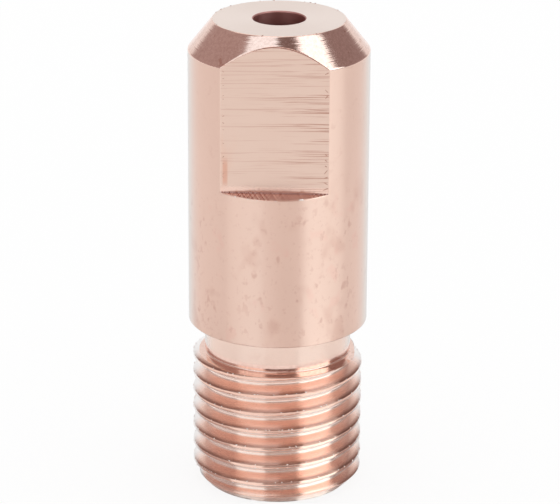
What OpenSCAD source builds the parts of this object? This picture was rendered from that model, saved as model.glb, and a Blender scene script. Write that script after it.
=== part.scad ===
// Welding contact tip: one turned copper piece.
// It stands on its threaded end, nose up, with its axis on Z and the threaded end face at z = 0.

/* [Body] */
// Diameter of the plain body
body_d = 10; // [9.8:0.1:12]
// Length from the threaded end to the nose face
overall_l = 27; // [24:0.5:40]
// Height of the body's lower shoulder above the threaded end
shoulder_z = 9.65; // [9.6:0.05:11]
// Edge break round the body's lower edge
shoulder_break = 0.06; // [0.05:0.01:0.3]

/* [Nose] */
// Diameter of the flat nose face
nose_face_d = 7.3; // [6:0.1:8.5]
// Height of the conical chamfer behind the nose face
nose_chamfer_h = 1.7; // [0.8:0.1:3]

/* [Wire bore] */
// Diameter of the bore that the wire runs through
bore_d = 2.85; // [1:0.05:3.6]
// Edge break round the mouth of the bore
bore_break = 0.06; // [0.02:0.01:0.2]
// Diameter of the conical lead-in at the threaded end
lead_in_d = 4.8; // [4.2:0.1:6]
// Full angle of the lead-in cone
lead_in_angle = 60; // [40:5:90]

/* [Wrench flats] */
// Distance across the two flats
across_flats = 8.1; // [7.6:0.1:9]
// Height of the flats' lower edge above the threaded end
flat_z = 18.3; // [16:0.1:20]
// Fall of the ledge below each flat, from the flat out to the body's skin
ledge_fall = 0.12; // [0.02:0.01:0.5]
// Turn of the pair of flats about the axis
flat_turn = -3; // [-45:1:45]

/* [Thread] */
// Major diameter of the external thread
thread_d = 9.525; // [9.2:0.005:9.6]
// Pitch of the thread
thread_pitch = 1.0583; // [0.95:0.0001:1.2]
// Full angle between the thread's flanks
thread_angle = 60; // [50:1:64]
// Width of the flat on the thread's crest
crest_w = 0.2; // [0.1:0.01:0.3]
// Width of the flat at the thread's root
root_w = 0.15; // [0.05:0.01:0.25]
// Angle at which the thread groove crosses the end face
thread_turn = 334; // [0:1:360]
// Length of the thread, from the end face to the relief groove
thread_l = 7.8; // [6:0.05:7.9]
// Edge break of the threaded end, on the radius and along the axis
end_chamfer = 0.7; // [0.3:0.01:0.8]

/* [Relief groove] */
// Drop of the neck's skin below the thread's root
neck_drop = 0.05; // [0.03:0.01:0.5]
// Radius in the two inner corners of the relief groove
neck_fillet = 0.08; // [0.05:0.01:0.4]
// Slope of the relief groove's lower face, from square to the axis
relief_slope = 3; // [1:1:30]

/* [Hidden] */
$fn = 96;
copper = [0.85, 0.66, 0.58];
body_r = body_d / 2;
nose_r = nose_face_d / 2;
bore_r = bore_d / 2;
lead_in_r = lead_in_d / 2;
lead_in_h = (lead_in_r - bore_r) / tan(lead_in_angle / 2);
thread_r = thread_d / 2;
thread_depth = (thread_pitch - crest_w - root_w) / 2 / tan(thread_angle / 2);
root_r = thread_r - thread_depth;
root_half = root_w / 2;
neck_r = root_r - neck_drop;
shoulder_inner_r = body_r - shoulder_break;
end_r = thread_r - end_chamfer;
// How far a cutting shape reaches past the surface that it cuts
overcut = 1;
// Steps in a rounded inner corner
corner_steps = 6;
// Steps in one turn of the thread
turn_steps = 36;
// Room between the groove's cutter and the skin of the thread
thread_skin = 0.06;
// Most walls of the groove that one straight line can cross
groove_crossings = 20;

// Points of an arc, from one angle to another
function arc(r, z, radius, from, to, steps) = [
    for (i = [0 : steps])
    let (a = from + (to - from) * i / steps)
    [r + radius * cos(a), z + radius * sin(a)]
];

// The relief groove's sloping lower face, by its height at a radius
function foot_z(r) = thread_l + (thread_r - r) * tan(relief_slope);
// Height of the centre of the corner arc that touches both the neck and that face
foot_arc_z = foot_z(neck_r + neck_fillet) + neck_fillet / cos(relief_slope);

// Half section of the turned blank, counter-clockwise from the lead-in
function blank_section() = concat(
    [
        [lead_in_r, 0],
        [end_r, 0],
        [thread_r, end_chamfer],
        [thread_r, thread_l]
    ],
    arc(neck_r + neck_fillet, foot_arc_z, neck_fillet, 270 - relief_slope, 180, corner_steps),
    arc(neck_r + neck_fillet, shoulder_z - neck_fillet, neck_fillet, 180, 90, corner_steps),
    [
        [shoulder_inner_r, shoulder_z],
        [body_r, shoulder_z + shoulder_break],
        [body_r, overall_l - nose_chamfer_h],
        [nose_r, overall_l],
        [bore_r + bore_break, overall_l],
        [bore_r, overall_l - bore_break],
        [bore_r, lead_in_h]
    ]
);

// Half width of the thread groove at a radius
function groove_half(r) = root_half + (r - root_r) * tan(thread_angle / 2);

// The thread groove as one swept solid: a four-sided section that climbs a right-hand helix
module thread_groove() {
    outer_r = thread_r + thread_skin;
    section = [
        [root_r, -root_half],
        [outer_r, -groove_half(outer_r)],
        [outer_r, groove_half(outer_r)],
        [root_r, root_half]
    ];
    sides = len(section);
    // Turns below the end face and above it, so that both ends of the sweep lie in the open
    turns_below = (groove_half(outer_r) + thread_skin) / thread_pitch;
    turns_above = (foot_arc_z + shoulder_z) / 2 / thread_pitch;
    stations = ceil((turns_below + turns_above) * turn_steps);
    points = [
        for (i = [0 : stations])
        let (turns = i / turn_steps - turns_below)
        let (a = thread_turn + 360 * turns)
        for (s = section)
        [s[0] * cos(a), s[0] * sin(a), turns * thread_pitch + s[1]]
    ];
    walls = [
        for (i = [0 : stations - 1])
        for (j = [0 : sides - 1])
        let (k = (j + 1) % sides)
        [i * sides + k, (i + 1) * sides + k, (i + 1) * sides + j, i * sides + j]
    ];
    first_cap = [for (j = [sides - 1 : -1 : 0]) j];
    last_cap = [for (j = [0 : sides - 1]) stations * sides + j];
    polyhedron(points, concat(walls, [first_cap, last_cap]), convexity = groove_crossings);
}

// What one wrench flat removes, on the side that faces -Y
module flat_cut() {
    half = across_flats / 2;
    reach = body_r + overcut;
    slope = ledge_fall / (body_r - half);
    rotate([90, 0, -90])
        linear_extrude(2 * reach, center = true)
            polygon([
                [half, flat_z],
                [reach, flat_z - slope * (reach - half)],
                [reach, overall_l + overcut],
                [half, overall_l + overcut]
            ]);
}

module contact_tip() {
    color(copper)
        difference() {
            rotate_extrude() polygon(blank_section());
            for (side = [0, 180]) rotate(flat_turn + side) flat_cut();
            thread_groove();
        }
}

contact_tip();
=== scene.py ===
# %% [markdown]
# # A copper welding contact tip
# The tip is one turned piece: a nose with a wire bore, a plain body with two milled flats, a shoulder,
# a relief neck and a screw thread. This lesson builds its skin as one closed grid of rows and columns,
# cuts the thread into that grid with Geometry Nodes, and gives each machined face its own finish.

# %% Load the packed part
import math

import bpy
import numpy as np
from mathutils import Matrix, Vector


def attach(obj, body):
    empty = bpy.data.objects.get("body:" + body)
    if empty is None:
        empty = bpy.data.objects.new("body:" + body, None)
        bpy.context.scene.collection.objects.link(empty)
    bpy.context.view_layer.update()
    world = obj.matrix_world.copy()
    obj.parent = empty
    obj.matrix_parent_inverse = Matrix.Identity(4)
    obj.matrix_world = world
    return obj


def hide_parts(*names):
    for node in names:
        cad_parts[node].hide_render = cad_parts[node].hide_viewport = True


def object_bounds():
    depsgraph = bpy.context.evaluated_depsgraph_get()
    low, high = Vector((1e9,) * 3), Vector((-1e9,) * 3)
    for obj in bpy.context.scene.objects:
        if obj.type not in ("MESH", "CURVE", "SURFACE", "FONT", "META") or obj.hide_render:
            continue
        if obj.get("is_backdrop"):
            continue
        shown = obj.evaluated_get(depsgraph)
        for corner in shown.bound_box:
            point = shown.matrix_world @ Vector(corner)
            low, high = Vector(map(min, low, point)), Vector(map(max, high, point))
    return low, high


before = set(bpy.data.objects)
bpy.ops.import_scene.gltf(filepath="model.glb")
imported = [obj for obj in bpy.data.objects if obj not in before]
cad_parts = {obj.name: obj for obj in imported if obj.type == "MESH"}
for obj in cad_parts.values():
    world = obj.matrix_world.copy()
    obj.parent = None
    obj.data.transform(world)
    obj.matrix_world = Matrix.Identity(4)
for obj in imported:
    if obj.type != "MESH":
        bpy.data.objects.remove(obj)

cad_low, cad_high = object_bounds()
print("CAD box", [round(v, 5) for v in (*cad_low, *cad_high)])

# %% [markdown]
# ## Sizes
# The skin has to lie on the packed part, so it has the same sizes. The body's radius and the length are
# read from the packed part, and the rest repeat the maker's sizes. Blender works in metres, so a size in
# millimetres is multiplied by MM.

# %% Sizes of the tip
MM = 0.001
body_r = (cad_high.x - cad_low.x) / 2
length = cad_high.z
shoulder_z, shoulder_break = 9.65 * MM, 0.06 * MM
nose_r, chamfer_h = 3.65 * MM, 1.7 * MM
bore_r, bore_break = 1.425 * MM, 0.06 * MM
lead_in_r, lead_in_h = 2.4 * MM, 1.6887 * MM
flat_half, flat_z, ledge_fall = 4.05 * MM, 18.3 * MM, 0.12 * MM
flat_turn = math.radians(-93)
pitch, crest_w, root_w = 1.0583 * MM, 0.2 * MM, 0.15 * MM
thread_r, thread_l, end_chamfer = 4.7625 * MM, 7.8 * MM, 0.7 * MM
thread_turn, flank = math.radians(334), math.radians(30)
root_r = thread_r - (pitch - crest_w - root_w) / 2 / math.tan(flank)
neck_drop, neck_fillet, relief_slope = 0.05 * MM, 0.08 * MM, math.radians(3)
neck_r = root_r - neck_drop
print("thread root radius", round(root_r / MM, 4), "mm, neck radius", round(neck_r / MM, 4), "mm")

# %% [markdown]
# ## Columns round the axis
# A turned skin is a grid: columns run round the axis and rows run along the section. A Screw modifier
# could spin the section, but it knows nothing of the flats, so the grid is worked out here. Extra columns
# crowd in where a flat meets the body. That keeps the edge crisp without making the whole grid finer.

# %% Columns
column_count = 320
edge_half = math.acos(flat_half / body_r)
flat_normals = (flat_turn, flat_turn + math.pi)
crowd = np.radians([-2.2, -1.4, -0.9, -0.55, -0.3, -0.1, 0.1, 0.3, 0.55, 0.9, 1.4, 2.2])
seam = math.radians(-180)
angles = [np.linspace(0, math.tau, column_count, endpoint=False)]
for normal in flat_normals:
    for hand in (-1, 1):
        angles.append((normal + hand * edge_half + crowd - seam) % math.tau)
angles = np.unique(np.round(np.concatenate(angles), 5))
angles = np.append(angles, math.tau) + seam
print(len(angles) - 1, "columns")

# %% [markdown]
# ## The wall with its flats
# A Boolean could cut the flats, but it leaves long thin faces that shade badly. So the rule is used: a
# flat is a plane, and its distance from the axis grows as 1 / cos of the angle off its normal. The wall is
# the smaller of that and the body's radius, and a smooth minimum rolls the edge slightly, as a cutter
# leaves it. The ledge below a flat falls a little from the flat out to the body's skin.

# %% Wall radius and edge heights, column by column
def smooth_least(a, b, reach):
    near = np.maximum(reach - np.abs(a - b), 0) / reach
    return np.minimum(a, b) - near ** 3 * reach / 6

edge_roll, least_cos = 0.05 * MM, 0.05
cos_off = np.abs(np.cos(angles - flat_turn))
plane_r = flat_half / np.maximum(cos_off, least_cos)
wall = smooth_least(np.full(len(angles), body_r), plane_r, edge_roll)
cone = (body_r - nose_r) / chamfer_h
chamfer_z = length - (wall - nose_r) / cone
ledge_slope = ledge_fall / (body_r - flat_half)

def ledge_edge_z(cos_off):
    """Height of the ledge's outer edge, by the cosine of the angle off the flat's normal."""
    return flat_z - ledge_slope * np.maximum(body_r * cos_off - flat_half, 0)

ledge_z = ledge_edge_z(cos_off)
on_flat = cos_off * body_r > flat_half
print("chamfer starts between", round(chamfer_z.min() / MM, 3), "and", round(chamfer_z.max() / MM, 3), "mm")

# %% [markdown]
# ## Rows from the thread to the nose and back down the bore
# Each row is a ring of points, with a radius and a height for every column and the zone of the faces that
# lead up to it. Sharp corners get a few extra rows on a short curve, because a real edge is never
# perfectly sharp and its small round catches the light.

# %% Ways to add rows
rows, zones = [], []
TURNED, POLISHED, FACED, MILLED, LEDGE, THREAD, BORE = range(7)
each = np.ones(len(angles))

def row(radius, z, zone):
    rows.append((radius * each, z * each))
    zones.append(zone)

def corner(before, at, after, reach, zone, after_zone=None, round_zone=None):
    """Three rows that round a corner between the directions of two neighbouring points, with one
    more row on each side to hold the flat faces flat."""
    after_zone = zone if after_zone is None else after_zone
    a, c, b = ([p[0] * each, p[1] * each] for p in (before, at, after))
    back = np.hypot(a[0] - c[0], a[1] - c[1])
    ahead = np.hypot(b[0] - c[0], b[1] - c[1])
    p = [c[i] + (a[i] - c[i]) / back * reach for i in (0, 1)]
    q = [c[i] + (b[i] - c[i]) / ahead * reach for i in (0, 1)]
    middle = [(p[i] + 2 * c[i] + q[i]) / 4 for i in (0, 1)]
    row(2 * p[0] - c[0], 2 * p[1] - c[1], zone)
    row(*p, zone)
    row(*middle, zone if round_zone is None else round_zone)
    row(*q, after_zone if round_zone is None else round_zone)
    row(2 * q[0] - c[0], 2 * q[1] - c[1], after_zone)

def arc(r, z, radius, start, stop, zone, steps=6):
    for i in range(steps + 1):
        a = math.radians(start + (stop - start) * i / steps)
        row(r + radius * math.cos(a), z + radius * math.sin(a), zone)

def between(first, last, count, zone):
    for i in range(1, count):
        t = i / count
        row(first[0] * (1 - t) + last[0] * t, first[1] * (1 - t) + last[1] * t, zone)

print(len(each), "points in a row")

# %% [markdown]
# ### Rows of the thread
# A plain ring would cross the thread at a slant and leave its edges jagged. These rows climb round the
# axis as the thread does, and crowd at the root and at the edges of the crest. They still lie on a plain
# cylinder: a later step cuts the groove. A row that would pass the end of the thread stops there.

# %% Helical rows of the thread
def helix_z(angle):
    """Height of the groove's middle, which leaves the end face at thread_turn and climbs from there."""
    return (angle - thread_turn) / math.tau * pitch

edge_round = 0.03 * MM
thread_top = thread_l - 2 * edge_round
crest_edge = pitch / 2 - crest_w / 2
steps = [s * MM for s in (0, 0.05, 0.09, 0.14, 0.25)]
steps += [crest_edge + s * MM for s in (-0.06, -0.025, 0, 0.025, 0.06)] + [pitch / 2]
one_pitch = steps + [pitch - s for s in reversed(steps[1:-1])]
first_turn, last_turn = -1, math.ceil(thread_top / pitch) + 2
for turn in range(first_turn, last_turn + 1):
    for s in one_pitch:
        z = np.clip(turn * pitch + s + helix_z(angles), 0, thread_top)
        row(np.minimum(thread_r, thread_r - end_chamfer + z), z, THREAD)
print(len(rows), "rows on the thread")

# %% [markdown]
# ### Rows of the neck, the shoulder and the body
# A relief groove above the thread gives the threading tool room to run out. Its inner corners are nearly
# sharp, and its foot slopes a little. The tool left the foot and the lowest part of the neck brighter than
# the rest, so those rows are in the polished zone. Above the shoulder, the body is a plain cylinder.

# %% Turned rows: relief neck, shoulder and body
def foot_z(r):
    """Height of the relief groove's sloping foot at a radius."""
    return thread_l + (thread_r - r) * math.tan(relief_slope)

inner_r = neck_r + neck_fillet
foot_arc_z = foot_z(inner_r) + neck_fillet / math.cos(relief_slope)
bright_z, hold, shoulder_round = foot_arc_z + 0.35 * MM, 0.03 * MM, 0.02 * MM
corner((thread_r, 0), (thread_r, thread_l), (inner_r, foot_z(inner_r)), edge_round, THREAD, POLISHED)
row(inner_r + hold, foot_z(inner_r + hold), POLISHED)
arc(inner_r, foot_arc_z, neck_fillet, 270 - math.degrees(relief_slope), 180, POLISHED)
row(neck_r, foot_arc_z + hold, POLISHED)
row(neck_r, bright_z, POLISHED)
between((neck_r, bright_z), (neck_r, shoulder_z - neck_fillet), 5, TURNED)
arc(inner_r, shoulder_z - neck_fillet, neck_fillet, 180, 90, TURNED)
shoulder_in = (body_r - shoulder_break, shoulder_z)
shoulder_out = (body_r, shoulder_z + shoulder_break)
corner((inner_r, shoulder_z), shoulder_in, shoulder_out, shoulder_round, TURNED)
corner(shoulder_in, shoulder_out, (body_r, flat_z), shoulder_round, TURNED)
between((body_r, shoulder_z + 0.3 * MM), (body_r, ledge_z - 0.2 * MM), 10, TURNED)
row(body_r, ledge_z - 0.12 * MM, TURNED)
print(len(rows), "rows up to the ledges")

# %% [markdown]
# ### Rows of the flats
# The same rows pass over both flats and over the round between them. On a flat they step in along the
# ledge and go up the plane. On the round the ledge has no width, so its rows fall together there, and
# the round of its rim shrinks to nothing.

# %% Milled rows
rim_round = np.minimum(0.045 * MM, (body_r - wall) / 4)
rim_hold = np.minimum(0.02 * MM, (body_r - wall) / 8)
ledge_inward, ledge_lift = (wall - MM, flat_z + ledge_slope * MM), 0.05 * MM
corner((body_r, ledge_z - MM), (body_r, ledge_z), ledge_inward, rim_round, TURNED, LEDGE, TURNED)
row(wall + rim_hold, flat_z - ledge_slope * rim_hold, LEDGE)
# The lowest strip of the flat takes the ledge's finish, so the ledge's painted corner shade reaches onto it.
for lift in (0, 0.02 * MM, ledge_lift):
    row(wall, flat_z + lift, LEDGE)
between((wall, flat_z + ledge_lift), (wall, chamfer_z - 0.2 * MM), 12, MILLED)
print(len(rows), "rows up to the nose chamfer")

# %% [markdown]
# ### Rows of the nose, the bore and the end face
# The section goes on over the chamfer and the nose face, down the bore and out along the lead-in cone,
# and ends where it began, at the rim of the threaded end. So the skin closes on itself.

# %% Chamfer, nose face, bore and end face
nose_round, mouth_round = 0.05 * MM, 0.015 * MM
cone_round, end_round = 0.05 * MM, 0.03 * MM
nose_edge, bore_edge = (nose_r, length), (bore_r + bore_break, length)
bore_top, bore_foot, end_edge = (bore_r, length - bore_break), (bore_r, lead_in_h), (lead_in_r, 0)
end_r = thread_r - end_chamfer
corner((wall, chamfer_z - MM), (wall, chamfer_z), nose_edge, nose_round, MILLED, POLISHED, POLISHED)
between((wall, chamfer_z), nose_edge, 4, POLISHED)
corner((wall, chamfer_z), nose_edge, bore_edge, nose_round, POLISHED, FACED)
between(nose_edge, bore_edge, 8, FACED)
corner(nose_edge, bore_edge, bore_top, mouth_round, FACED, BORE)
corner(bore_edge, bore_top, (bore_r, 0), mouth_round, BORE)
between((bore_r, length - 0.2 * MM), (bore_r, lead_in_h + 0.1 * MM), 8, BORE)
corner((bore_r, length), bore_foot, end_edge, cone_round, BORE)
corner(bore_foot, end_edge, (thread_r, 0), end_round, BORE, FACED)
between((lead_in_r + 2 * end_round, 0), (end_r, 0), 4, FACED)
row(end_r, 0, FACED)
print(len(rows), "rows in all")

# %% [markdown]
# ## The grid as a mesh
# Each square between two rows and two columns becomes a face. A face keeps the number of its zone as an
# attribute, so that a later step can give it its finish. The flats' zones hold only where both columns
# of a face are on a flat.

# %% Join the rows into a mesh
radius = np.array([r for r, z in rows])
height = np.array([z for r, z in rows])
points = np.stack([radius * np.cos(angles), radius * np.sin(angles), height], axis=-1)
n_rows, n_cols = radius.shape
index = np.arange(n_rows * n_cols).reshape(n_rows, n_cols)
quads = np.stack([index[:-1, :-1], index[:-1, 1:], index[1:, 1:], index[1:, :-1]], axis=-1).reshape(-1, 4)
zone_of = np.repeat(np.array(zones[1:])[:, None], n_cols - 1, axis=1)
flat_column = on_flat[:-1] & on_flat[1:]
on_mill = np.isin(zone_of, (MILLED, LEDGE))
zone_of = np.where(on_mill & ~flat_column[None, :], TURNED, zone_of)
skin = bpy.data.meshes.new("tip_skin")
skin.from_pydata(points.reshape(-1, 3).tolist(), [], quads.tolist())
zone_layer = skin.attributes.new("zone", "INT", "FACE")
zone_layer.data.foreach_set("value", zone_of.reshape(-1).astype(np.int32))
tip = bpy.data.objects.new("contact_tip_skin", skin)
bpy.context.scene.collection.objects.link(tip)
print(len(quads), "quads before the thread is cut")

# %% [markdown]
# ## Node maths as Python
# Both the thread and the finishes are made by node trees, and maths in a tree is one node an operation.
# A small class wraps a socket so that ordinary Python expressions add those nodes, and one method adds
# any other node.

# %% A wired value
class Wire:
    """A node's output that takes part in Python expressions."""

    def __init__(self, socket):
        self.socket = socket
        self.tree = socket.id_data

    @classmethod
    def add(cls, tree, kind, settings=None, sockets=None, out=0):
        """Adds a node: its settings first, then the values or wires of its sockets."""
        node = tree.nodes.new(kind)
        for name, value in (settings or {}).items():
            setattr(node, name, value)
        for name, value in (sockets or {}).items():
            if isinstance(value, Wire):
                tree.links.new(value.socket, node.inputs[name])
            else:
                node.inputs[name].default_value = value
        return cls(node.outputs[out])

    def math(self, operation, *others):
        values = dict(enumerate((self, *others)))
        return Wire.add(self.tree, "ShaderNodeMath", {"operation": operation}, values)

    def swapped(self, operation, other):
        return Wire.add(self.tree, "ShaderNodeMath", {"operation": operation}, {0: other, 1: self})

    def __add__(self, other): return self.math("ADD", other)
    def __sub__(self, other): return self.math("SUBTRACT", other)
    def __mul__(self, other): return self.math("MULTIPLY", other)
    def __truediv__(self, other): return self.math("DIVIDE", other)
    def __rsub__(self, other): return self.swapped("SUBTRACT", other)
    def __rtruediv__(self, other): return self.swapped("DIVIDE", other)
    __radd__, __rmul__ = __add__, __mul__

    def span(self, start, stop):
        """0 at start, 1 at stop, smooth between and level beyond. Start may be the larger one."""
        return Wire.add(self.tree, "ShaderNodeMapRange", {"interpolation_type": "SMOOTHSTEP"},
                        {"Value": self, "From Min": start, "From Max": stop})

    def split(self):
        """The three parts of a vector."""
        parts = Wire.add(self.tree, "ShaderNodeSeparateXYZ", None, {0: self}).socket.node
        return [Wire(part) for part in parts.outputs]

def joined(tree, x, y, z):
    return Wire.add(tree, "ShaderNodeCombineXYZ", None, {0: x, 1: y, 2: z})

def from_axis(x, y):
    """Distance from the tip's axis."""
    return (x * x + y * y).math("SQRT")

print("wires can", [name for name in vars(Wire) if not name.startswith("_")])

# %% [markdown]
# ## Trees that make meshes
# A Geometry Nodes tree is a small program for a mesh, and named inputs keep its sizes apart from its
# steps. One helper starts such a tree. Another runs it on a piece and keeps the result as a plain mesh,
# because the finished piece has to carry its shape without the modifier.

# %% Start a tree and run a tree
def start_tree(name, kinds):
    """A tree with a mesh and named inputs: the tree, the inputs as wires, and their identifiers."""
    tree = bpy.data.node_groups.new(name, "GeometryNodeTree")
    ports = tree.interface
    ports.new_socket("Geometry", in_out="INPUT", socket_type="NodeSocketGeometry")
    identifiers = [ports.new_socket(label, in_out="INPUT", socket_type="NodeSocket" + kind).identifier
                   for label, kind in kinds.items()]
    ports.new_socket("Geometry", in_out="OUTPUT", socket_type="NodeSocketGeometry")
    group_in = tree.nodes.new("NodeGroupInput")
    given = {label: Wire(group_in.outputs[label]) for label in ("Geometry", *kinds)}
    return tree, given, identifiers

def end_tree(last):
    group_out = last.tree.nodes.new("NodeGroupOutput")
    last.tree.links.new(last.socket, group_out.inputs[0])
    print(last.tree.name, len(last.tree.nodes), "nodes")

def run_tree(piece, tree, identifiers, values):
    maker = piece.modifiers.new(tree.name, "NODES")
    maker.node_group = tree
    for identifier, value in zip(identifiers, values):
        maker[identifier] = value
    shape = piece.evaluated_get(bpy.context.evaluated_depsgraph_get())
    made = bpy.data.meshes.new_from_object(shape)
    piece.modifiers.remove(maker)
    piece.data = made
    return made

print("tools for trees:", start_tree.__name__, end_tree.__name__, run_tree.__name__)

# %% [markdown]
# ## The thread, cut by a rule
# On the real tip a pointed tool cuts the thread while the bar turns. A spiral cutter and a Boolean could do
# the same, but a rule keeps the skin closed and its rows even: at a given angle and height, the distance
# to the middle of the groove says how deep the tool has cut. The tree works that out for each point and
# pulls it in towards the axis. A little noise leaves the crests ragged, as a real cut does, and the last
# ridge fades out on one side, where the neck's tool caught it.

# %% Inputs of the thread tree
thread_sizes = {"Pitch": pitch, "Crest Width": crest_w, "Root Width": root_w, "Flank Angle": flank,
                "Major Radius": thread_r, "Start Turn": thread_turn, "Last Ridge": 8.0,
                "Burr": 0.025 * MM, "Seed": 4.0}
tree, given, thread_ids = start_tree("cut_thread", dict.fromkeys(thread_sizes, "Float"))
print("thread inputs", list(thread_sizes))

# %% Depth of the groove
root_soft, crest_soft, blunt_soft = 0.04 * MM, 0.1 * MM, 0.025 * MM
place = Wire.add(tree, "GeometryNodeInputPosition")
x, y, z = place.split()
around = y.math("ARCTAN2", x)
out_r = from_axis(x, y)
turns = z / given["Pitch"] - (around - given["Start Turn"]) / math.tau
off = (turns - turns.math("ROUND")).math("ABSOLUTE") * given["Pitch"]
slope = given["Flank Angle"].math("TANGENT")
root = given["Major Radius"] - (given["Pitch"] - given["Crest Width"] - given["Root Width"]) / 2 / slope
flank_r = root + (off - given["Root Width"] / 2) / slope
groove = flank_r.math("SMOOTH_MAX", root, root_soft)
print(len(tree.nodes), "nodes so far")

# %% Ragged crests, the last ridge, and the cut itself
burr_reach, stand_off, most_blunt = 0.06 * MM, 0.2 * MM, 0.62 * MM
fade_from, fade_to = -0.9, 0.0
crest_off = off - (given["Pitch"] - given["Crest Width"]) / 2
ragged = Wire.add(tree, "ShaderNodeTexNoise", {"noise_dimensions": "4D"},
                  {"Vector": place, "W": given["Seed"], "Scale": 4200.0, "Detail": 2.0})
at_edge = 1 - (crest_off.math("ABSOLUTE") / burr_reach).math("MINIMUM", 1.0)
burr = (ragged - 0.5) * 2 * given["Burr"] * at_edge
last_ridge = turns.math("GREATER_THAN", given["Last Ridge"])
fading = around.span(fade_from, fade_to) * last_ridge
blunt = given["Major Radius"] + stand_off - fading * most_blunt
cut_r = out_r.math("SMOOTH_MIN", groove, crest_soft).math("SMOOTH_MIN", blunt, blunt_soft) + burr
scale = cut_r / out_r
moved = joined(tree, x * scale, y * scale, z)
below_neck = z.math("LESS_THAN", foot_arc_z)
outside = out_r.math("GREATER_THAN", root * 0.9)
cut = Wire.add(tree, "GeometryNodeSetPosition", None,
               {"Geometry": given["Geometry"], "Selection": below_neck * outside, "Position": moved})
print(len(tree.nodes), "nodes so far")

# %% [markdown]
# ## Finishes
# The whole tip is bare copper, and only the way each face was machined differs. A turned face carries
# fine rings, a milled flat carries the cutter's wavy lines, and the thread is a deeper orange.
# Bare copper has no paint to colour it: nearly all its look is what it mirrors, so a finish is a tone of
# copper, a roughness and a fine relief. Anisotropic stretches a highlight, as rings do, and a quarter
# turn lays the stretch along the axis.

# %% A start for each finish
quarter_turn = 0.25

def finish(name, stretch):
    """A bare copper material, its shader, and the wires that its patterns start from."""
    material = bpy.data.materials.new(name)
    material.use_nodes = True
    shader = material.node_tree.nodes["Principled BSDF"]
    shader.inputs["Metallic"].default_value = 1.0
    shader.inputs["Roughness"].default_value = 0.3
    shader.inputs["Anisotropic"].default_value = stretch
    shader.inputs["Anisotropic Rotation"].default_value = quarter_turn
    where = Wire.add(material.node_tree, "ShaderNodeTexCoord", None, None, "Object")
    return material, shader, where, where.split()

def feed(node, name, wire):
    wire.tree.links.new(wire.socket, node.inputs[name])

def colour_mix(factor, first, second):
    return Wire.add(factor.tree, "ShaderNodeMix", {"data_type": "RGBA"}, {0: factor, 6: first, 7: second}, 2)

copper = (0.93, 0.66, 0.55, 1)
print("copper", copper[:3])

# %% [markdown]
# ### Patterns, relief and painted sheen
# Noise makes every pattern here. Stretched noise makes streaks, and noise along a single number makes
# lines. A Bump node turns a pattern into fine relief. Where round metal turns away from the eye, a Layer
# Weight node mixes in a paler metal: a painted sheen that stands in for the bright room it would mirror.

# %% Noise, relief and painted sheen
def vector(operation, first, second=(0, 0, 0)):
    return Wire.add(first.tree, "ShaderNodeVectorMath", {"operation": operation}, {0: first, 1: second})

def noise(where, scale, detail=2.0, rough=0.5, stretch=(1, 1, 1)):
    return Wire.add(where.tree, "ShaderNodeTexNoise", None,
                    {"Vector": vector("MULTIPLY", where, stretch), "Scale": scale, "Detail": detail,
                     "Roughness": rough})

def lathe_line(along):
    """A place that changes along one number only, so that noise on it makes lines."""
    return joined(along.tree, along, 0.0, 0.0)

def surface_normal(tree):
    return Wire.add(tree, "ShaderNodeNewGeometry", None, None, "Normal")

def relief(shader, height, strength, distance, normal=None):
    values = {"Strength": strength, "Distance": distance, "Height": height}
    if normal:
        values["Normal"] = normal
    feed(shader, "Normal", Wire.add(height.tree, "ShaderNodeBump", None, values))

def glancing(under, tone, share, start, stop):
    """Paints a pale sheen: mixes a paler metal over a finish where it is seen at a glancing angle."""
    nodes = under.tree
    glance = Wire.add(nodes, "ShaderNodeLayerWeight", None, {"Blend": 0.5}, "Facing")
    over = Wire.add(nodes, "ShaderNodeBsdfPrincipled", None,
                    {"Base Color": tone, "Metallic": 1.0, "Roughness": 0.3})
    both = Wire.add(nodes, "ShaderNodeMixShader", None,
                    {0: glance.span(start, stop) * share, 1: under, 2: over})
    feed(nodes.nodes["Material Output"], "Surface", both)

brown = (0.66, 0.35, 0.27, 1)
print("stains are brown", brown[:3])

# %% [markdown]
# ### Turned faces
# A lathe tool leaves one very fine spiral. Its rings follow the section, so the pattern runs along
# z minus the radius: on a wall that is the height, and on a flat face it is the radius. Handling has left
# brown specks, soft stains and faint pink patches, most of them on the lower body. The neck is clean, and
# paler and smoother than the rest.

# %% Turned copper: rings, specks and stains
turned, shader, where, (x, y, z) = finish("turned_copper", 0.96)
around_r = from_axis(x, y)
rings = noise(lathe_line(z - around_r), 9000.0, 3.0, 0.6)
cloud = noise(where, 260.0, 3.0, 0.55)
shifted = vector("ADD", where, (3.1 * MM, 1.7 * MM, 5.2 * MM))
speck = noise(shifted, 1500.0, 2.0, 0.6, (1, 1, 0.8)).span(0.6, 0.74) * cloud.span(0.4, 0.58)
blot = noise(where, 620.0, 2.0, 0.55, (1, 1, 0.7)).span(0.54, 0.72)
dust = noise(where, 4200.0, 2.0, 0.6).span(0.61, 0.7)
cluster = noise(shifted, 420.0).span(0.5, 0.6)
fleck = noise(shifted, 2600.0, 2.0, 0.65, (1, 1, 0.7)).span(0.56, 0.66) * cluster
neck = 1 - around_r.span(4.3 * MM, 4.6 * MM)
low = (1 - z.span(16.5 * MM, 20 * MM)) * (1 - neck)
stain = blot * low * 0.32 + speck * (0.15 + low * 0.35)
stain = (stain + dust * (0.06 + low * 0.1) + fleck * (0.06 + low * 0.18)).math("MINIMUM", 1.0)
print(turned.name, len(where.tree.nodes), "nodes so far")
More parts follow.
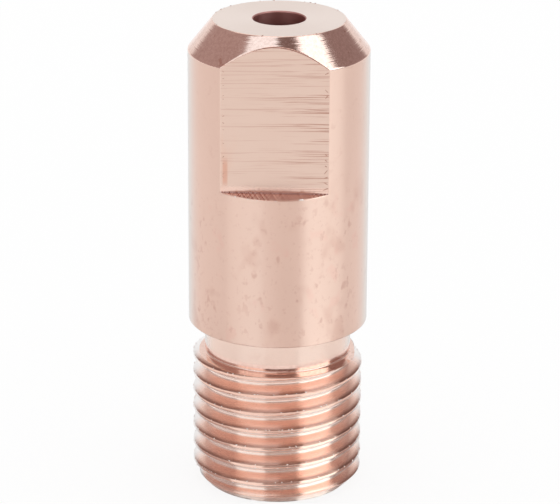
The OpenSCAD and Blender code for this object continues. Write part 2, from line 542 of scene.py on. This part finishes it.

# %% Turned copper: colour, gloss and painted sheen
pale_copper, pink, clean = (0.94, 0.68, 0.57, 1), (0.93, 0.55, 0.46, 1), (0.925, 0.705, 0.605, 1)
painted_sheen_tone = (0.72, 0.71, 0.69, 1)
flush = noise(where, 900.0, 2.0, 0.5, (1, 1, 0.8)).span(0.6, 0.74) * low * 0.28
tint = colour_mix(cloud, copper, pale_copper)
tint = colour_mix(flush, tint, pink)
tint = colour_mix(neck, tint, clean)
feed(shader, "Base Color", colour_mix(stain, tint, brown))
feed(shader, "Roughness", 0.28 + rings * 0.05 + cloud * 0.05 - neck * 0.12)
relief(shader, rings, 0.12, 0.002 * MM)
# Painted sheen: a paler metal is mixed in where the wall turns away from the eye.
glancing(Wire(shader.outputs[0]), painted_sheen_tone, 1.0, 0.5, 1.0)
print(turned.name, len(where.tree.nodes), "nodes")

# %% [markdown]
# ### Polished chamfer and foot
# The nose chamfer, the foot of the relief groove and the lowest part of the neck were cut with a fine
# finishing pass, so they mirror the room sharply: the two softboxes, and the dark gap between them. Each
# ring leans a little to one side or the other, which frays the edges of those reflections.

# %% Polished copper
polished, shader, where, (x, y, z) = finish("polished_copper", 0.4)
around_r = from_axis(x, y)
along = z - around_r
rings = noise(lathe_line(along), 14000.0, 3.0, 0.6)
cloud = noise(where, 500.0, 3.0, 0.55)
nick = noise(where, 1700.0).span(0.67, 0.72)
grain = noise(where, 6000.0, 2.0, 0.6).span(0.3, 0.7)
tint = colour_mix(cloud * 0.4 + grain * 0.6, (0.82, 0.56, 0.475, 1), (1.0, 0.73, 0.635, 1))
feed(shader, "Base Color", colour_mix(nick * 0.6, tint, brown))
feed(shader, "Roughness", 0.1 + rings * 0.08)
other_place, most_sway = 0.7, 0.22
sway = (noise(lathe_line(along + other_place), 9000.0, 2.0, 0.6) - 0.5) * most_sway
sideways = joined(where.tree, 0 - y / around_r * sway, x / around_r * sway, 0.0)
tilted = vector("NORMALIZE", vector("ADD", surface_normal(where.tree), sideways))
relief(shader, rings, 0.5, 0.006 * MM, tilted)
print(polished.name, len(where.tree.nodes), "nodes")

# %% [markdown]
# ### Faced nose
# The flat nose face was cut with the same tool, in rings about the bore. It mirrors the pale backdrop
# at a low angle, so it looks paler than the wall. The end face at the thread has the same finish.

# %% Faced copper
faced, shader, where, (x, y, z) = finish("faced_copper", 0.5)
rings = noise(lathe_line(from_axis(x, y)), 5200.0, 3.0, 0.6)
cloud = noise(where, 420.0, 3.0, 0.55)
feed(shader, "Base Color", colour_mix(cloud, (0.9, 0.76, 0.69, 1), (0.92, 0.79, 0.72, 1)))
feed(shader, "Roughness", 0.26 + rings * 0.1)
relief(shader, rings, 0.25, 0.003 * MM)
print(faced.name, len(where.tree.nodes), "nodes")

# %% [markdown]
# ### Milled flats
# A side cutter leaves shallow lines across the flat. They wander a little, and they are deeper on one
# side where the cutter came out. Heat has reddened the other side, with one narrow streak near its edge.
# Just above the ledge the flat is glossier and mirrors the ledge, and a red tint there paints that
# reflection.

# %% Milled copper: the cutter's lines
milled, shader, where, (x, y, z) = finish("milled_copper", 0.85)
lean, drift, most_wander = 0.02, 0.012, 0.16 * MM
wander = noise(where, 260.0)
sweep = z - x * lean + (wander - 0.5) * most_wander
line = joined(where.tree, sweep, x * drift, y * drift)
lines = noise(line, 15000.0, 3.0, 0.6)
groups = noise(line, 2600.0)
deeper = 0.35 + x.span(-2.5 * MM, 2.5 * MM) * 0.65
scored = lines.span(0.54, 0.63) * groups.span(0.36, 0.52) * deeper
relief(shader, lines * deeper, 0.5, 0.004 * MM)
print(milled.name, len(where.tree.nodes), "nodes so far")

# %% Milled copper: heat, colour and gloss
reddened, streak_red, painted_ledge_reflection = (0.9, 0.52, 0.38, 1), (0.8, 0.4, 0.28, 1), (0.88, 0.5, 0.42, 1)
cloud = noise(where, 320.0, 3.0, 0.55)
heat = noise(where, 700.0, 2.0, 0.5, (1, 1, 0.4)).span(0.5, 0.62) * (1 - x.span(-3.1 * MM, -1.9 * MM))
streak = x.span(-3.06 * MM, -2.96 * MM) * (1 - x.span(-2.82 * MM, -2.7 * MM))
streak = streak * z.span(18.5 * MM, 19 * MM) * (1 - z.span(19.8 * MM, 20.4 * MM))
ledge_reflection_band = 1 - z.span(flat_z + 0.2 * MM, flat_z + 0.45 * MM)
tint = colour_mix(cloud, (0.885, 0.66, 0.555, 1), (0.9, 0.69, 0.585, 1))
tint = colour_mix(heat * 0.2, tint, reddened)
tint = colour_mix(streak * 0.6, tint, streak_red)
# Painted reflection: a red tint just above the ledge stands in for the ledge mirrored in the flat.
tint = colour_mix(ledge_reflection_band * 0.3, tint, painted_ledge_reflection)
feed(shader, "Base Color", colour_mix(scored * 0.85, tint, brown))
feed(shader, "Roughness", 0.27 + scored * 0.15 + lines * 0.06 - ledge_reflection_band * 0.17)
print(milled.name, len(where.tree.nodes), "nodes")

# %% [markdown]
# ### Ledges below the flats
# The end of the cutter leaves close slanting marks on the ledge, most of them one way and a few across.
# They are deep for their width, so the ledge looks hatched in light and dark. The relief is real, and its
# light and shade is also painted into the colour, and painted shade darkens the inner corner.

# %% Ledge copper
ledged, shader, where, (x, y, z) = finish("ledge_copper", 0.0)
painted_shade_mark, painted_light_mark, painted_corner_shade = (0.46, 0.14, 0.11, 1), (1.0, 0.8, 0.75, 1), (0.36, 0.16, 0.12, 1)
other_place = 0.3
reach_in = y.math("ABSOLUTE")
one_way = noise(lathe_line(x * 0.95 - reach_in * 0.3), 22000.0, 1.0, 0.5)
other_way = noise(lathe_line(x * 0.9 + reach_in * 0.4 + other_place), 13000.0, 2.0, 0.6)
marks = one_way * 0.7 + other_way * 0.3
# Painted light and shade: the marks' light and dark sides are painted into the colour.
painted_hatch = colour_mix(marks.span(0.44, 0.52), painted_shade_mark, painted_light_mark)
# Painted shade: a dark band along the ledge's inner corner.
corner_shade_band = z.span(flat_z - 0.03 * MM, flat_z - 0.005 * MM)
feed(shader, "Base Color", colour_mix(corner_shade_band * 0.5, painted_hatch, painted_corner_shade))
feed(shader, "Roughness", 0.2 + marks * 0.15)
relief(shader, marks, 0.8, 0.012 * MM)
print(ledged.name, len(where.tree.nodes), "nodes")

# %% [markdown]
# ### Thread
# The thread's flanks mirror each other, which makes copper look more orange by itself. The roots are
# pale, and painted shade draws a dark line on the upward side of each crest. The flanks are not quite
# true: a second, worn layer has its normals turned towards level, and a painted pale sheen lies along the
# outline.

# %% Threaded copper: roots, crests and painted crest shade
thread_stretch = 0.9
threaded, shader, where, (x, y, z) = finish("threaded_copper", thread_stretch)
pale_root, painted_lip_shade = (1.0, 0.83, 0.75, 1), (0.3, 0.13, 0.09, 1)
around_r = from_axis(x, y)
facing = surface_normal(where.tree)
tear = noise(where, 6000.0, 3.0, 0.6, (0.1, 0.1, 1))
cloud = noise(where, 500.0, 3.0, 0.55)
at_root = 1 - around_r.span(root_r + 0.02 * MM, root_r + 0.1 * MM)
at_crest = around_r.span(thread_r - 0.14 * MM, thread_r - 0.06 * MM)
upward = facing.split()[2]
# Painted shade: a dark line where the crest's upper edge faces upward.
crest_lip_shade = upward.span(0.1, 0.3) * around_r.span(thread_r - 0.26 * MM, thread_r - 0.03 * MM)
tint = colour_mix(cloud, (0.965, 0.628, 0.512, 1), (0.985, 0.666, 0.55, 1))
tint = colour_mix(at_root * 0.8, tint, pale_root)
smear = 0.2 + tear * 0.1 - at_root * 0.06 - at_crest * 0.08
feed(shader, "Base Color", colour_mix(crest_lip_shade * 0.9, tint, painted_lip_shade))
feed(shader, "Roughness", smear)
relief(shader, tear, 0.05, 0.002 * MM)
print(threaded.name, len(where.tree.nodes), "nodes so far")

# %% Threaded copper: the worn layer and the painted sheen
flatter, painted_sheen_bright = (1, 1, 0.577), (0.98, 0.97, 0.96, 1)
level = vector("NORMALIZE", vector("MULTIPLY", facing, flatter))
worn = Wire.add(where.tree, "ShaderNodeBsdfPrincipled", None,
                {"Base Color": tint, "Metallic": 1.0, "Roughness": smear, "Anisotropic": thread_stretch,
                 "Anisotropic Rotation": quarter_turn, "Normal": level})
both = Wire.add(where.tree, "ShaderNodeMixShader", None,
                {0: 0.12 + tear * 0.2, 1: Wire(shader.outputs[0]), 2: worn})
# Painted sheen: a nearly white metal is mixed in where the flanks turn away from the eye.
glancing(both, painted_sheen_bright, 0.9, 0.5, 0.72)
print(threaded.name, len(where.tree.nodes), "nodes")

# %% [markdown]
# ### Bore and burrs
# The bore has some dark oxide from the arc's heat. Burrs come in two finishes: a dark one, which is painted
# shade for the shadow under a curl, and a pale one, a painted glint where a chip catches the light.

# %% Bore copper, and burr finishes of painted shade and painted glint
bored, shader, where, _ = finish("bore_copper", 0.0)
oxide = noise(where, 700.0, 3.0, 0.6)
feed(shader, "Base Color", colour_mix(oxide, (0.5, 0.23, 0.21, 1), (0.61, 0.32, 0.29, 1)))
feed(shader, "Roughness", 0.38 + oxide * 0.2)
# Painted shade: the dark burr finish stands in for the shadow under each curl.
painted_shade_burrs, shader, where, _ = finish("burr_copper_painted_shade", 0.0)
feed(shader, "Base Color", colour_mix(noise(where, 3000.0), (0.4, 0.2, 0.14, 1), (0.8, 0.5, 0.4, 1)))
# Painted glint: a pale, nearly white copper stands in for chips catching the light.
painted_glint_chips, shader, where, _ = finish("spark_copper_painted_glint", 0.0)
feed(shader, "Base Color", colour_mix(noise(where, 3000.0), (0.98, 0.86, 0.8, 1), (1.0, 0.95, 0.92, 1)))
print(bored.name, painted_shade_burrs.name, painted_glint_chips.name)

# %% [markdown]
# ## Close the skin
# The rows meet themselves at the seam and at the end face, and the thread's rows pile up at its ends, so
# points that fall together are merged. The tree ends by setting a material for each machined zone, and
# the result becomes a plain mesh.

# %% Merge, set the finishes and make a plain mesh
merged = Wire.add(tree, "GeometryNodeMergeByDistance", None, {"Geometry": cut, "Distance": 0.0002 * MM})
smooth = Wire.add(tree, "GeometryNodeSetShadeSmooth", None, {"Geometry": merged})
whole = Wire.add(tree, "GeometryNodeRealizeInstances", None, {"Geometry": smooth})
zone_value = Wire.add(tree, "GeometryNodeInputNamedAttribute", {"data_type": "INT"}, {"Name": "zone"})
for number, material in enumerate((turned, polished, faced, milled, ledged, threaded, bored)):
    tip.data.materials.append(material)
    same = Wire.add(tree, "FunctionNodeCompare", {"data_type": "INT", "operation": "EQUAL"},
                    {2: zone_value, 3: number})
    whole = Wire.add(tree, "GeometryNodeSetMaterial", None,
                     {"Geometry": whole, "Selection": same, "Material": material})
end_tree(whole)
plain = run_tree(tip, tree, thread_ids, thread_sizes.values())
print(len(plain.polygons), "faces after the merge")

# %% [markdown]
# ## Measure the skin
# A closed skin has two faces at every edge, and its signed volume is above zero when its faces point
# outwards. Both are measured here, and the skin is turned the right way out if it is inside out.

# %% Volume and open edges
def signed_volume(mesh):
    mesh.calc_loop_triangles()
    co = np.zeros(len(mesh.vertices) * 3, np.float32)
    mesh.vertices.foreach_get("co", co)
    tri = np.zeros(len(mesh.loop_triangles) * 3, np.int32)
    mesh.loop_triangles.foreach_get("vertices", tri)
    a, b, c = co.reshape(-1, 3).astype(float)[tri.reshape(-1, 3)].transpose(1, 0, 2)
    return np.einsum("ij,ij->i", a, np.cross(b, c)).sum() / 6, len(tri) // 3

volume, triangles = signed_volume(plain)
if volume < 0:
    plain.flip_normals()
edge_used = np.zeros(len(plain.loops), np.int32)
plain.loops.foreach_get("edge_index", edge_used)
open_edges = int((np.bincount(edge_used, minlength=len(plain.edges)) != 2).sum())
print("volume", round(abs(volume) / MM ** 3, 1), "mm3,", triangles, "triangles,", open_edges, "open edges")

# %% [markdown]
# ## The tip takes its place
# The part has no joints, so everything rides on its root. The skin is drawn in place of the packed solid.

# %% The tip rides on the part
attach(tip, "root")
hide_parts("contact_tip")

# %% [markdown]
# ## Burrs along the edges
# A cutter pushes up small burrs where it leaves an edge: curls and beads beside the flats, chips on the
# rims and crests, a few nicks on the nose rim, and one larger burr on the front ledge. The curls, beads and
# nicks are dark with painted shade, and the chips and the ledge burr have a painted glint. There are too
# many to set by hand, so one Geometry Nodes tree walks along guide lines, keeps some places by chance, and
# sets a small chip down at each, flat against the surface and turned at random.

# %% The burr tree: places
kinds = {"Spacing": "Float", "Chance": "Float", "Smallest": "Vector", "Largest": "Vector", "Seed": "Int",
         "Finish": "Material"}
walk, given, burr_ids = start_tree("scatter_burrs", kinds)

def chance(kind, sockets, offset, out):
    """A random value for each place. The offset gives each kind of value a seed of its own."""
    return Wire.add(walk, "FunctionNodeRandomValue", {"data_type": kind},
                    {**sockets, 8: given["Seed"] + offset}, out)

most_spin = 0.9
curve = Wire.add(walk, "GeometryNodeMeshToCurve", None, {0: given["Geometry"]})
spots = Wire.add(walk, "GeometryNodeCurveToPoints", {"mode": "LENGTH"},
                 {"Curve": curve, "Length": given["Spacing"]})
keep = chance("BOOLEAN", {6: given["Chance"]}, 0, 3)
scale = chance("FLOAT_VECTOR", {0: given["Smallest"], 1: given["Largest"]}, 1, 0)
spin = chance("FLOAT", {2: -most_spin, 3: most_spin}, 2, 1)
print("burr inputs", list(kinds))

# %% The burr tree: chips
outward = Wire.add(walk, "GeometryNodeInputNamedAttribute", {"data_type": "FLOAT_VECTOR"},
                   {"Name": "outward"})
facing = Wire.add(walk, "FunctionNodeAlignRotationToVector", {"axis": "Z"}, {"Vector": outward})
turn = Wire.add(walk, "FunctionNodeEulerToRotation", None, {0: joined(walk, 0.0, 0.0, spin)})
facing = Wire.add(walk, "FunctionNodeRotateRotation", {"rotation_space": "LOCAL"}, {0: facing, 1: turn})
chip = Wire.add(walk, "GeometryNodeMeshIcoSphere", None, {"Radius": 1.0, "Subdivisions": 1})
chips = Wire.add(walk, "GeometryNodeInstanceOnPoints", None,
                 {"Points": spots, "Selection": keep, "Instance": chip, "Rotation": facing, "Scale": scale})
chips = Wire.add(walk, "GeometryNodeRealizeInstances", None, {"Geometry": chips})
chips = Wire.add(walk, "GeometryNodeSetMaterial", None, {"Geometry": chips, "Material": given["Finish"]})
end_tree(chips)

# %% [markdown]
# ### Guide lines
# A guide is a line of points along an edge, and each point says which way is outward there. One helper
# makes a mesh of such lines, runs the burr tree on it and puts the burrs on the part. Another makes a
# guide that runs round the axis. A set of burrs is given by its spacing along the guide, the share of
# places that are kept, and the smallest and largest half sizes of a chip, all lengths in millimetres.

# %% Helpers for guides and burrs
def scatter(name, guides, spacing, share, smallest, largest, seed, finish_used):
    """Burrs along guide lines, each a list of points and of outward directions."""
    points, outs, edges = [], [], []
    for line_points, line_outs in guides:
        edges += [(len(points) + i, len(points) + i + 1) for i in range(len(line_points) - 1)]
        points += [tuple(p) for p in line_points]
        outs += [tuple(o) for o in line_outs]
    mesh = bpy.data.meshes.new(name)
    mesh.from_pydata(points, edges, [])
    mesh.attributes.new("outward", "FLOAT_VECTOR", "POINT").data.foreach_set("vector", np.ravel(outs))
    piece = bpy.data.objects.new(name, mesh)
    bpy.context.scene.collection.objects.link(piece)
    small, large = (tuple(v * MM for v in size) for size in (smallest, largest))
    made = run_tree(piece, walk, burr_ids, (spacing * MM, share, small, large, seed, finish_used))
    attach(piece, "root")
    print(name, len(made.polygons), "faces")

def ring_line(angle, radius, z, tilt):
    """A guide round the axis, with its outward direction tilted up from level."""
    r, h = radius * np.ones(len(angle)), z * np.ones(len(angle))
    flat = math.cos(tilt)
    return (np.stack([r * np.cos(angle), r * np.sin(angle), h], -1),
            np.stack([flat * np.cos(angle), flat * np.sin(angle), np.full(len(angle), math.sin(tilt))], -1))

print("burr inputs are set by", burr_ids)

# %% [markdown]
# ### Burrs beside the flats
# The cutter left curls of copper along one upright edge of each flat, and finer beads along the other.
# Both lie just inside the edge, and their dark finish is painted shade, so they show dark against the flat.

# %% Curls and beads
guide_count, edge_inset = 30, math.radians(1.5)
upright = np.linspace(flat_z + 0.3 * MM, length - chamfer_h - 0.2 * MM, guide_count)
near, far = [], []
for normal in flat_normals:
    for hand, store in ((-1, near), (1, far)):
        inset = normal + hand * (edge_half - edge_inset)
        reach = flat_half / math.cos(inset - normal)
        foot = np.array([reach * math.cos(inset), reach * math.sin(inset)])
        places = np.column_stack([np.tile(foot, (guide_count, 1)), upright])
        store.append((places, np.tile([math.cos(normal), math.sin(normal), 0.0], (guide_count, 1))))
scatter("flat_edge_curls", far, 0.32, 0.4, (0.08, 0.02, 0.012), (0.2, 0.035, 0.02), 11, painted_shade_burrs)
scatter("flat_edge_beads", near, 0.19, 0.3, (0.03, 0.012, 0.008), (0.09, 0.022, 0.014), 5, painted_shade_burrs)

# %% [markdown]
# ### Chips on the rims
# The rim of the nose face and the outer edge of each ledge have small chips with a painted glint, and the
# nose rim has nicks, dark with painted shade, as well. The front ledge has one larger burr with a painted
# glint, right of its middle, made of a few chips that run into each other.

# %% Rim chips, nicks and the ledge burr
nose_tilt, ledge_tilt, burr_tilt = math.radians(60), 0.6, 0.4
ledge_share = edge_half * 0.85
rims = [ring_line(np.linspace(0, math.tau, 361), nose_r, length, nose_tilt)]
for normal in flat_normals:
    along = np.linspace(normal - ledge_share, normal + ledge_share, 60)
    rims.append(ring_line(along, body_r, ledge_edge_z(np.cos(along - normal)), ledge_tilt))
burr_at = np.radians([-76.6, -75.6, -74.6])
ledge_spot = [ring_line(burr_at, body_r, ledge_edge_z(np.cos(burr_at - flat_turn)), burr_tilt)]
scatter("rim_chips", rims, 0.25, 0.16, (0.03, 0.015, 0.01), (0.08, 0.035, 0.022), 3, painted_glint_chips)
scatter("rim_nicks", rims[:1], 0.3, 0.12, (0.05, 0.02, 0.012), (0.1, 0.035, 0.02), 6, painted_shade_burrs)
scatter("ledge_burr", ledge_spot, 0.05, 1.0, (0.05, 0.03, 0.02), (0.1, 0.05, 0.04), 2, painted_glint_chips)

# %% [markdown]
# ### Chips on the crests
# The threading tool tears small chips along both edges of the crest. Their guides climb with the thread,
# half a pitch above the groove, and stop short of the chamfer and of the relief groove.

# %% Crest chips
climb_start, climb_turns, climb_count = thread_turn - math.pi, 7.6, 1600
crest_tilt, end_margin = 0.3, 0.1 * MM
climb_angle = np.linspace(climb_start, climb_start + math.tau * climb_turns, climb_count)
climb_z = helix_z(climb_angle) + pitch / 2
inside = (climb_z > end_chamfer + end_margin) & (climb_z < thread_l - end_margin)
crests = [ring_line(climb_angle[inside], thread_r, climb_z[inside] + hand * crest_w / 2, crest_tilt * hand)
          for hand in (-1, 1)]
# The crest chips carry the painted glint.
scatter("crest_chips", crests, 0.18, 0.2, (0.025, 0.016, 0.01), (0.07, 0.034, 0.024), 8, painted_glint_chips)

# %% [markdown]
# ## Floor
# The tip stands on white paper, which looks plain white to the camera but keeps the tip's soft shadow.
# Close to the tip, mirrored rays find a glossy patch, as if a tile lay there. The thread's flanks mirror it,
# and in it the softboxes and the dark gap, which gives them their light and dark bands.

# %% White floor
def ray_kind(tree, name):
    """1 for rays of this kind, otherwise 0."""
    return Wire.add(tree, "ShaderNodeLightPath", None, None, name)

floor_reach = 0.9
gloss_to, matt_from, gloss_share, white_share = 13 * MM, 19 * MM, 0.88, 0.85
paper = bpy.data.materials.new("white_paper")
paper.use_nodes = True
nodes = paper.node_tree
nodes.nodes.clear()
matt = Wire.add(nodes, "ShaderNodeBsdfDiffuse", None, {"Color": (0.97, 0.97, 0.97, 1)})
where = Wire.add(nodes, "ShaderNodeTexCoord", None, None, "Object")
from_tip = Wire.add(nodes, "ShaderNodeVectorMath", {"operation": "LENGTH"}, {0: where}, "Value")
patch = (1 - from_tip.span(gloss_to, matt_from)) * ray_kind(nodes, "Is Glossy Ray")
gloss = Wire.add(nodes, "ShaderNodeBsdfAnisotropic", None, {"Color": (1, 1, 1, 1), "Roughness": 0.15})
matt = Wire.add(nodes, "ShaderNodeMixShader", None, {0: patch * gloss_share, 1: matt, 2: gloss})
white = Wire.add(nodes, "ShaderNodeEmission", None, {"Color": (1, 1, 1, 1), "Strength": 1.0})
shown = Wire.add(nodes, "ShaderNodeMixShader", None,
                 {0: ray_kind(nodes, "Is Camera Ray") * white_share, 1: matt, 2: white})
feed(nodes.nodes.new("ShaderNodeOutputMaterial"), "Surface", shown)
floor_mesh = bpy.data.meshes.new("floor_mesh")
floor_corners = [(a * floor_reach, b * floor_reach, 0) for a, b in ((-1, -1), (1, -1), (1, 1), (-1, 1))]
floor_mesh.from_pydata(floor_corners, [], [(0, 1, 2, 3)])
floor_mesh.materials.append(paper)
floor = bpy.data.objects.new("paper_floor", floor_mesh)
bpy.context.scene.collection.objects.link(floor)
floor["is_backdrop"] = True
print("floor", 2 * floor_reach, "m across")

# %% [markdown]
# ## Room
# Copper is a mirror, so the room is as much a part of the picture as the tip. Lamps and walls could be
# built, but paint on the world is easier to place. It goes by azimuth, from the front, and by elevation,
# both in degrees: dim walls, a pale backdrop behind and a light overhead.
# Two softboxes stand in front on either side, with a dark gap between them that has a light strip above
# it and a dimmer one below. Only mirrored rays see the paint. Camera and diffuse rays find plain white.

# %% Directions in the room
world = bpy.data.worlds.new("studio_room")
bpy.context.scene.world = world
world.use_nodes = True
nodes = world.node_tree
x, y, z = Wire.add(nodes, "ShaderNodeTexCoord", None, None, "Generated").split()
from_back = x.math("ARCTAN2", y).math("ABSOLUTE")
to_degrees = 180 / math.pi
azimuth = x.math("ARCTAN2", 0 - y) * to_degrees
elevation = z.math("ARCSINE") * to_degrees

def panel(left, right, low, high, soft):
    """1 inside a span of azimuth and elevation in degrees, with soft edges."""
    across = azimuth.span(left - soft, left + soft) * (1 - azimuth.span(right - soft, right + soft))
    return across * elevation.span(low - soft, low + soft) * (1 - elevation.span(high - soft, high + soft))

print("room", len(nodes.nodes), "nodes for directions")

# %% Paint the room
dim, left_wall, right_wall = (0.185, 0.132, 0.126, 1), (0.41, 0.32, 0.31, 1), (0.29, 0.22, 0.215, 1)
backdrop = (1 - from_back.span(0.58, 0.74)) * (1 - z.span(0.6, 0.75))
overhead = (z.span(0.95, 0.98) + y.span(0.1, 0.3) * z.span(0.72, 0.8)).math("MINIMUM", 1.0)
box_edge = 31 + (elevation - 20).math("MAXIMUM", 0.0) * 0.27
right_box = (azimuth - box_edge).span(-3, 6) * (1 - azimuth.span(87, 91)) * elevation.span(5, 11)
coats = (
    (azimuth.span(60, 110), right_wall),
    ((1 - elevation.span(4, 22)) * 0.35, (0.55, 0.5, 0.5, 1)),
    (backdrop, (0.88, 0.88, 0.88, 1)),
    (overhead, (1.1, 1.06, 1.03, 1)),
    (panel(-66, -19, 2, 42, 2.0), (0.7, 0.7, 0.7, 1)),
    (panel(-66, -19, 8, 31, 2.0), (1.1, 1.18, 1.2, 1)),
    (panel(-66, -4, 38, 80, 2.5), (1.08, 1.22, 1.3, 1)),
    (panel(-19, 31, 14, 31, 2.0), (0.115, 0.075, 0.07, 1)),
    (panel(-19, 31, 33, 49, 2.5), (1.02, 0.88, 0.83, 1)),
    (panel(-19, 31, -5, 11, 3.0), (0.62, 0.44, 0.39, 1)),
    (right_box * (1 - elevation.span(64, 72)), (1.55, 1.65, 1.72, 1)),
    (right_box * (1 - elevation.span(40, 48)), (1.78, 2.02, 2.06, 1)),
)
paint = colour_mix(azimuth.span(-30, -75), dim, left_wall)
for mask, colour in coats:
    paint = colour_mix(mask, paint, colour)
mirrored = ray_kind(nodes, "Is Glossy Ray") + ray_kind(nodes, "Is Transmission Ray")
feed(nodes.nodes["Background"], "Color", colour_mix(mirrored, (1, 1, 1, 1), paint))
print("room", len(nodes.nodes), "nodes,", len(coats), "coats of paint")

# %% [markdown]
# ## Camera
# The camera stands in front and looks down on the tip at about 20 degrees, through a long lens.
# A small roll and shift place the tip in the frame as in the photograph.

# %% Camera
lens_mm, sensor_mm = 192.913, 36.0
target, stand = Vector((0, 0, 0.0135)), Vector((0, -0.157606, 0.070930))
roll, shift_x, shift_y = math.radians(0.3111), 0.003545, -0.001314
view = (stand - target).to_track_quat("Z", "Y").to_matrix().to_4x4()
camera_data = bpy.data.cameras.new("photo_camera")
camera_data.lens, camera_data.sensor_width = lens_mm, sensor_mm
camera_data.shift_x, camera_data.shift_y = shift_x, shift_y
camera_data.clip_start, camera_data.clip_end = 0.01, 10
camera = bpy.data.objects.new("photo_camera", camera_data)
camera.matrix_world = Matrix.Translation(stand) @ view @ Matrix.Rotation(roll, 4, "Z")
bpy.context.scene.collection.objects.link(camera)
bpy.context.scene.camera = camera
bpy.context.scene.view_settings.view_transform = "Standard"
print("camera at", [round(v, 4) for v in stand])

# %% [markdown]
# ## Two boxes
# The dressed part's box is printed, to set beside the packed part's box printed at the start.

# %% Print the visual box
low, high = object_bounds()
print("visual box", [round(v, 5) for v in (*low, *high)])
